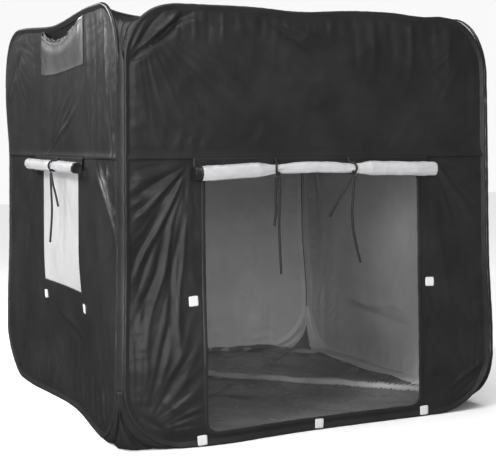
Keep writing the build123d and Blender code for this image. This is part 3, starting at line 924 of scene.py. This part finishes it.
# ---------------- rolled flaps
class Roll:
    """A rolled flap along a wall.

    It has a run, a length at each end in the dark outer cloth (at the window roll's open end this dark is
    painted shade as well), and sizes: its radius at the ends, between the ties and under them. Its middle is
    out from the wall, at the height that height_at says.
    """

    def __init__(self, side, body, run, dark, sizes, ties, out, height_at):
        self.side, self.body, self.dark = side, body, dark
        self.left, self.right = run
        self.radius, self.waist, self.tied = sizes
        self.ties, self.out, self.height_at = ties, out, height_at

    def thickness(self, u):
        stations, sizes = [self.left], [self.radius]
        for i, tie in enumerate(self.ties):
            before = self.waist if i else self.radius
            after = self.radius if tie == self.ties[-1] else self.waist
            stations += [tie - 42, tie - 8, tie + 8, tie + 42]
            sizes += [before, self.tied, self.tied, after]
        stations.append(self.right)
        sizes.append(self.radius)
        return np.interp(u, stations, sizes)

    def pinch(self, u):
        return sum(np.exp(-np.abs(u - tie) / 26) for tie in self.ties)


DOOR_ROLL_HEIGHT = 552
WINDOW_ROLL_HEIGHT = 556


def door_roll_height(u):
    left_droop, right_droop = 6 * smooth((-120 - u) / 160), 3 * smooth((u - 120) / 160)
    return DOOR_ROLL_HEIGHT - left_droop + 4 * smooth(1 - np.abs(u + 10) / 120) - right_droop


def window_roll_height(u):
    return WINDOW_ROLL_HEIGHT - 2 * smooth((u - 60) / 150) + 1.5 * smooth((-60 - u) / 150)


DOOR_ROLL = Roll("front", "door_flap", run=(-281, 281), dark=(18, 0), sizes=(15, 11.5, 9.3),
                 ties=(-98, 78), out=24, height_at=door_roll_height)
# its dark right end is partly the black cloth inside the roll and partly painted shade in the open, hollow
# end
WINDOW_ROLL = Roll("left", "window_flap", run=(-209, 223), dark=(0, 14), sizes=(12.5, 12.0, 9.3),
                   ties=(28,), out=21, height_at=window_roll_height)
END_RINGS = 9     # rings in the spiral at each end of a roll
HEM_TURN = math.radians(215)
NECK_OUT = 7.4
JOIN_UP, JOIN_BACK = 0.25, 0.93     # where the neck meets the roll, in shares of its radius


def make_roll(roll, seed):
    u = span(roll.left, roll.right, 3.0)
    turn = ring_turns(64)[None, :]
    uu = u[:, None]
    radius = roll.thickness(uu)
    twist = turn + 0.010 * uu
    size = radius * (1 + 0.055 * noise(uu / 34 + np.cos(turn), np.sin(turn) * 1.2 + uu / 90, seed))
    size = size + 0.9 * roll.pinch(uu) * np.cos(6 * twist + 2 * noise(uu / 25, turn * 0, seed + 1))
    size = size * (1 + 0.035 * noise(uu / 12 + twist * 0.6, np.sin(turn), seed + 2))
    # the hem of the flap is a step that runs along the roll
    past_hem = np.mod(turn - HEM_TURN + 0.0012 * uu, 2 * math.pi) / (2 * math.pi)
    size = size + 1.1 * (0.5 - past_hem)
    # each end is a spiral: rings that narrow to the middle, every other one sunk into the roll
    inwards = np.arange(END_RINGS, 0, -1)[:, None]
    sunk = np.where(inwards % 2, 4.5, 0) + 0.8 * inwards + 0 * turn
    narrow = 1 - inwards / (END_RINGS + 0.6)
    left_end, right_end = (np.maximum(size[end] * narrow, 0.6) for end in (0, -1))
    u_all = np.concatenate([u[0] + sunk, uu + 0 * turn, u[-1] - sunk[::-1]])
    size_all = np.concatenate([left_end, size, right_end[::-1]])
    dark_left, dark_right = roll.dark
    dark_from, dark_to = roll.left + dark_left, roll.right - dark_right
    dark = np.concatenate([np.full(END_RINGS, dark_left > 0), (u < dark_from) | (u > dark_to),
                           np.full(END_RINGS, dark_right > 0)]).astype(int)
    dark_step = smooth((dark_from - u_all) / 3) * (dark_left > 0)
    dark_step = dark_step + smooth((u_all - dark_to) / 3) * (dark_right > 0)
    size_all = size_all * (1 - 0.10 * dark_step)
    v = roll.height_at(u_all) + size_all * np.sin(turn)
    w = roll.out - size_all * np.cos(turn)
    obj = rings_mesh(f"tent_{roll.body}_roll", to_world(roll.side, u_all, v, w), (ROLL, OUTER), dark)
    finish_piece(obj, roll.body, "flap_cloth", f"{roll.body}_roll")


def make_neck(roll, seed):
    """The strip of flap between the band seam and the roll."""
    u = span(roll.left + 6, roll.right - 6, 4)[None, :]
    down = np.linspace(0, 1, 9)[:, None]
    size = roll.thickness(u)
    bottom_v = roll.height_at(u) + JOIN_UP * size
    bottom_w = roll.out - JOIN_BACK * size
    v = BAND_SEAM - 2 + (bottom_v - BAND_SEAM + 2) * down
    w = NECK_OUT + (bottom_w - NECK_OUT) * down ** 1.5 + 0.8 * noise(u / 18, down * 1.5, seed) * down
    u = u + 0 * down
    face, back = (to_world(roll.side, u, v, w - depth)[::-1] for depth in (0, 0.9))
    obj = cloth_mesh(f"tent_{roll.body}_neck", face, back, (OUTER, ROLL))
    finish_piece(obj, roll.body, "flap_cloth", f"{roll.body}_roll")


# ---------------- ties, knots and tails
TIE_DIAMETER = 0.005
KNOT_TURN = math.radians(-52)     # where the knot sits on the ring, up from straight out


def curve_piece(name, points, diameter, cyclic=False):
    """A NURBS line with a round section, through control points in metres."""
    data = bpy.data.curves.new(name, "CURVE")
    data.dimensions = "3D"
    data.bevel_depth = diameter / 2
    data.bevel_resolution = 3
    data.resolution_u = 10
    data.use_fill_caps = True
    spline = data.splines.new("NURBS")
    spline.points.add(len(points) - 1)
    for point, place in zip(spline.points, points):
        point.co = (*place, 1)
    spline.use_cyclic_u = cyclic
    spline.order_u = 3
    spline.use_endpoint_u = not cyclic
    data.materials.append(TAPE)
    return add_object(name, data)


def wall_point(side, u, v, w):
    """A point on a wall, in metres in the row frame."""
    return tuple(float(q) for q in to_world(side, float(u), float(v), float(w)) * MM)


def make_tie(roll, tie, node, lean):
    """A tape round the roll: a slanting ring, a riser to the seam and a double knot."""
    middle = roll.height_at(float(tie))
    radius = roll.tied + 2.6
    ring = [(tie + lean * math.cos(turn), middle + radius * math.sin(turn),
             roll.out - radius * math.cos(turn)) for turn in ring_turns(14)]
    riser = [(tie + lean * 0.4, middle + radius * 0.95, roll.out - 3),
             (tie + lean * 0.9, middle + radius * 1.15, roll.out - 9),
             (tie + lean * 0.6, BAND_SEAM - 3, CLOTH_OUT + 5)]
    knot_v = middle + radius * math.sin(KNOT_TURN)
    knot_w = roll.out + radius * math.cos(KNOT_TURN)
    knot = []
    for turn in ring_turns(24):
        reach = 2.0 + 1.6 * math.cos(3 * turn)
        knot.append((tie + reach * math.cos(2 * turn) * 1.25, knot_v + reach * math.sin(2 * turn) * 1.1,
                     knot_w + 2.0 * math.sin(3 * turn)))
    for part, route, share, cyclic in (("ring", ring, 0.9, True), ("riser", riser, 0.9, False),
                                       ("knot", knot, 0.72, True)):
        points = [wall_point(roll.side, *q) for q in route]
        obj = curve_piece(f"tent_{node}_{part}", points, TIE_DIAMETER * share, cyclic)
        finish_piece(obj, roll.body, "tie_tape", node)


TAILS = {
    # name: wall, control points on the wall in millimetres, length
    "door_tail_left_long": ("front", [(-94.8, 536.2, 31.3), (-93, 492, 31), (-95, 438, 29), (-93, 388, 30),
                                      (-90, 336, 28)], 0.2004),
    "door_tail_left_short": ("front", [(-101.2, 536.2, 31.3), (-103, 500, 30), (-102, 466, 31),
                                       (-106, 436, 30)], 0.1005),
    "door_tail_right_long": ("front", [(81.2, 536.2, 31.3), (76, 497, 31), (74, 452, 30), (80, 402, 31),
                                       (96, 352, 29)], 0.1873),
    "door_tail_right_short": ("front", [(74.8, 536.2, 31.3), (58, 508, 32), (38, 484, 31), (22, 452, 30)],
                              0.0997),
    "window_tail_long": ("left", [(24.8, 540.2, 28.3), (27, 500, 28), (30, 460, 27), (25, 418, 28),
                                  (7, 380, 27)], 0.1643),
    "window_tail_short": ("left", [(31.2, 540.2, 28.3), (46, 515, 29), (66, 494, 28), (84, 466, 27)], 0.0914),
}


def make_tails():
    for name, (side, route, length) in TAILS.items():
        points = [wall_point(side, *q) for q in route]
        obj = curve_piece(f"tent_{name}", points, TIE_DIAMETER)
        finish_piece(obj, "door_flap" if side == "front" else "window_flap", "tie_tape", name)


# ---------------- film, pocket, patches
def make_film():
    margin = 3.5     # sewn under the edge of the opening
    u, v = np.meshgrid(span(WINDOW_LEFT - margin, WINDOW_RIGHT + margin, 5),
                       span(WINDOW_BOTTOM - margin, WINDOW_TOP + margin, 5))
    waves = 1.6 * noise(u / 90, v / 120, 81) + 0.8 * noise(u / 36, v / 60, 82)
    from_sides = np.minimum(u - WINDOW_LEFT, WINDOW_RIGHT - u)
    from_ends = np.minimum(v - WINDOW_BOTTOM, WINDOW_TOP - v)
    w = CLOTH_OUT - 1.6 + cloth_height("left", u, v) + waves * smooth(np.minimum(from_sides, from_ends) / 30)
    obj = wall_cloth("tent_window_film", "left", u, v, w, 0.6, (FILM, FILM))
    finish_piece(obj, "left_wall", "window_film", "window_film")


POCKET_LOW, POCKET_HIGH = box_mm("side_pocket")
POCKET_LEFT, POCKET_RIGHT = -POCKET_HIGH[1], -POCKET_LOW[1]
POCKET_BOTTOM, POCKET_TOP = POCKET_LOW[2], POCKET_HIGH[2]
POCKET_MID = (POCKET_LEFT + POCKET_RIGHT) / 2
POCKET_SAG = 34


def pocket_mouth(u):
    """Height of the pocket's sagging mouth."""
    share = np.clip((u - POCKET_MID) / (POCKET_RIGHT - POCKET_MID), -1, 1)
    ripple = 2.0 * noise(u / 22, u * 0, 91) * (1 - share ** 2)
    return POCKET_TOP - POCKET_SAG * (1 - share ** 2) + ripple


def pocket_gap(u, v):
    """1 in the crescent behind the mouth, where the wall's cloth falls back."""
    in_width = smooth((u - POCKET_LEFT) / 30) * smooth((POCKET_RIGHT - u) / 30)
    return in_width * smooth((v - pocket_mouth(u) + 30) / 26) * smooth((HEIGHT - 8 - v) / 8)


def make_pocket():
    u = span(POCKET_LEFT, POCKET_RIGHT, 4.5)[None, :]
    up = np.linspace(0, 1, 30)[:, None]
    v = POCKET_BOTTOM + (pocket_mouth(u) - POCKET_BOTTOM) * up
    u = u + 0 * up
    in_from_side = smooth(np.minimum(u - POCKET_LEFT, POCKET_RIGHT - u) / 26)
    stand = 1.6 + 7.5 * smooth(up / 0.8) * in_from_side
    tucks = 1.2 * noise(u / 60, v / 90, 92) * up + 0.8 * noise(u / 15, v / 50, 93) * up ** 4
    fold = Fold((-157, 867), (-115, 767), 7, 6).at(u, v)
    wall = cloth_height("left", u, v)
    w = CLOTH_OUT + stand + (tucks + fold) * in_from_side + 0.3 * wall
    w = np.maximum(w, CLOTH_OUT + 1.4 + wall)
    obj = wall_cloth("tent_side_pocket", "left", u, v, w, 1.2, (POCKET, LINING))
    finish_piece(obj, "left_wall", "outer_cloth", "side_pocket")


def make_pocket_hem():
    """The pocket's lining, turned out and crumpled along the mouth."""
    u = span(POCKET_LEFT + 24, POCKET_RIGHT - 70, 3)[None, :]
    up = np.linspace(0, 1, 10)[:, None]
    v = pocket_mouth(u) - 3 + 11 * up + 4 * noise(u / 16, up * 1.2, 95) * up
    w = CLOTH_OUT + 3.4 + 1.6 * noise(u / 12, up * 1.5, 96) + 1.5 * noise(u / 30, up, 97)
    obj = wall_cloth("tent_pocket_hem", "left", u + 0 * up, v, w, 0.7, (WELT, WELT))
    finish_piece(obj, "left_wall", "outer_cloth", "side_pocket")


PATCH = 20


def make_patches():
    jamb = DOOR_HALF + BINDING + 4 + PATCH / 2
    sill = DOOR_SILL - BINDING - PATCH / 2 + 4
    groups = {
        "door_patches": ("front", [(-jamb - 6, 290, 3), (jamb + 6, 300, -2)], CLOTH_OUT),
        "sill_patches": ("front", [(-262, sill, 4), (0, sill, -3), (258, sill, 2)], SLEEVE),
        "window_patches": ("left", [(-132, 243, 5), (190, 246, -4)], CLOTH_OUT),
    }
    a, b = np.meshgrid(np.linspace(-1, 1, 9), np.linspace(-1, 1, 9))
    pull = 1 - 0.06 * (np.abs(a) * np.abs(b)) ** 3
    crown = 1.6 - 0.5 * np.maximum(np.abs(a), np.abs(b)) ** 6
    for node, (side, places, base) in groups.items():
        for k, (mid_u, mid_v, tilt) in enumerate(places):
            turn = math.radians(tilt)
            u = mid_u + PATCH / 2 * pull * (a * math.cos(turn) - b * math.sin(turn))
            v = mid_v + PATCH / 2 * pull * (a * math.sin(turn) + b * math.cos(turn))
            lift = cloth_height(side, u, v) if base < SLEEVE else 0 * u
            obj = wall_cloth(f"tent_{node}_{k + 1}", side, u, v, base + crown + lift, 1.6, (HOOK, HOOK))
            finish_piece(obj, BODY[side], "hook_patch", node)


# ---------------- stage
FLOOR_HALF = 9
BACKDROP_LIGHT = 0.95
ROOM_LIGHT = 0.10
ROOM_LIGHT_BEHIND = 0.035
AREA_LIGHTS = {
    # name: place, target, size, power
    "key": ((-1.3, -4.4, 1.5), (0, 0, 0.35), (3.0, 1.4), 85),
    "rake": ((-3.2, -2.0, 2.6), (0, -0.45, 0.5), (0.5, 0.5), 70),
    "through_door": ((-2.6, -2.2, 0.9), (0.42, -0.2, 0.3), (0.8, 0.6), 25),
    "left_side": ((-1.72, 1.42, 1.7), (-0.43, -0.3, 0.7), (0.8, 0.8), 60),
    "left_low": ((-1.80, 0.9, 0.15), (-0.43, -0.42, 0.2), (0.3, 0.3), 3),
}
CAMERA_PLACE = (-1.1568, -2.7748, 0.6130)
CAMERA_TURN = (0.4105, -0.0719, -0.0046)     # yaw, pitch, roll
CAMERA_LENS = 88.93


def make_stage():
    mesh = bpy.data.meshes.new("studio_floor")
    corners = [(x * FLOOR_HALF, y * FLOOR_HALF, 0) for x, y in ((-1, -1), (1, -1), (1, 1), (-1, 1))]
    mesh.from_pydata(corners, [], [(0, 1, 2, 3)])
    material, _ = new_material("studio_paper", (0.93, 0.93, 0.93), 0.9)
    mesh.materials.append(material)
    obj = add_object("studio_floor", mesh)
    obj.visible_glossy = False


def make_world():
    """A white backdrop for the camera, and a dimmer room around the tent, darkest behind it."""
    world = bpy.data.worlds.new("studio")
    world.use_nodes = True
    nodes, links = world.node_tree.nodes, world.node_tree.links
    background = nodes["Background"]
    background.inputs["Color"].default_value = (1, 1, 1, 1)
    path, place, axes, strength, depth = (nodes.new("ShaderNode" + kind) for kind in (
        "LightPath", "TexCoord", "SeparateXYZ", "MapRange", "MapRange"))
    strength.inputs["To Max"].default_value = BACKDROP_LIGHT
    for socket, value in (("From Min", -0.4), ("From Max", 0.8), ("To Min", ROOM_LIGHT),
                          ("To Max", ROOM_LIGHT_BEHIND)):
        depth.inputs[socket].default_value = value
    for source, target in ((place.outputs["Generated"], axes.inputs[0]),
                           (axes.outputs["Y"], depth.inputs["Value"]),
                           (depth.outputs["Result"], strength.inputs["To Min"]),
                           (path.outputs["Is Camera Ray"], strength.inputs["Value"]),
                           (strength.outputs["Result"], background.inputs["Strength"])):
        links.new(source, target)
    bpy.context.scene.world = world


def aim(direction):
    return Vector(direction).to_track_quat("-Z", "Y").to_euler()


def sun_light(name, direction, strength, angle):
    data = bpy.data.lights.new(name, "SUN")
    data.energy = strength
    data.angle = math.radians(angle)
    add_object(name, data).rotation_euler = aim(direction)


def area_light(name, place, target, size, power):
    data = bpy.data.lights.new(name, "AREA")
    data.shape = "RECTANGLE"
    data.size, data.size_y = size
    data.energy = power
    obj = add_object(name, data)
    obj.location = place
    obj.rotation_euler = aim(Vector(target) - Vector(place))


def make_camera():
    """The camera stands left of the doorway, a little lower than the roof."""
    data = bpy.data.cameras.new("camera")
    data.lens = CAMERA_LENS
    data.sensor_width = 36
    obj = add_object("camera", data)
    yaw, pitch, roll = CAMERA_TURN
    forward = Vector((math.sin(yaw) * math.cos(pitch), math.cos(yaw) * math.cos(pitch), math.sin(pitch)))
    right = Vector((math.cos(yaw), -math.sin(yaw), 0))
    up = right.cross(forward)
    turned_right = math.cos(roll) * right + math.sin(roll) * up
    turned_up = math.cos(roll) * up - math.sin(roll) * right
    basis = Matrix((turned_right, turned_up, -forward)).transposed()
    obj.matrix_world = Matrix.Translation(CAMERA_PLACE) @ basis.to_4x4()
    bpy.context.scene.camera = obj


# ---------------- build
for wall_side in BODY:
    make_upper_cloth(wall_side)
    make_lower_cloth(wall_side)
    make_sleeve(wall_side)
    make_hoop(wall_side)
make_binding()
make_welts()
for corner_name in GUSSETS:
    make_gusset(corner_name, True)
    make_gusset(corner_name, False)
make_gores("roof_cloth", roof_height, OUTER, LINING, "outer_cloth", 9)
make_gores("floor_cloth", floor_height, FLOOR, OUTER, "floor_cloth", 4.5, lining_and_highlight_side="right", paint_ridge_highlight=True)
for flap_roll, roll_seed in ((DOOR_ROLL, 41), (WINDOW_ROLL, 51)):
    make_roll(flap_roll, roll_seed)
    make_neck(flap_roll, roll_seed + 2)
make_tie(DOOR_ROLL, -98, "door_tie_left", 5)
make_tie(DOOR_ROLL, 78, "door_tie_right", -5)
make_tie(WINDOW_ROLL, 28, "window_tie", 4)
make_tails()
make_film()
make_pocket()
make_pocket_hem()
make_patches()
make_stage()
make_world()
bpy.context.scene.view_settings.view_transform = "Standard"
sun_light("overhead", (0.05, 0.12, -1), 2.6, 50)
for light_name, settings in AREA_LIGHTS.items():
    area_light(light_name, *settings)
make_camera()
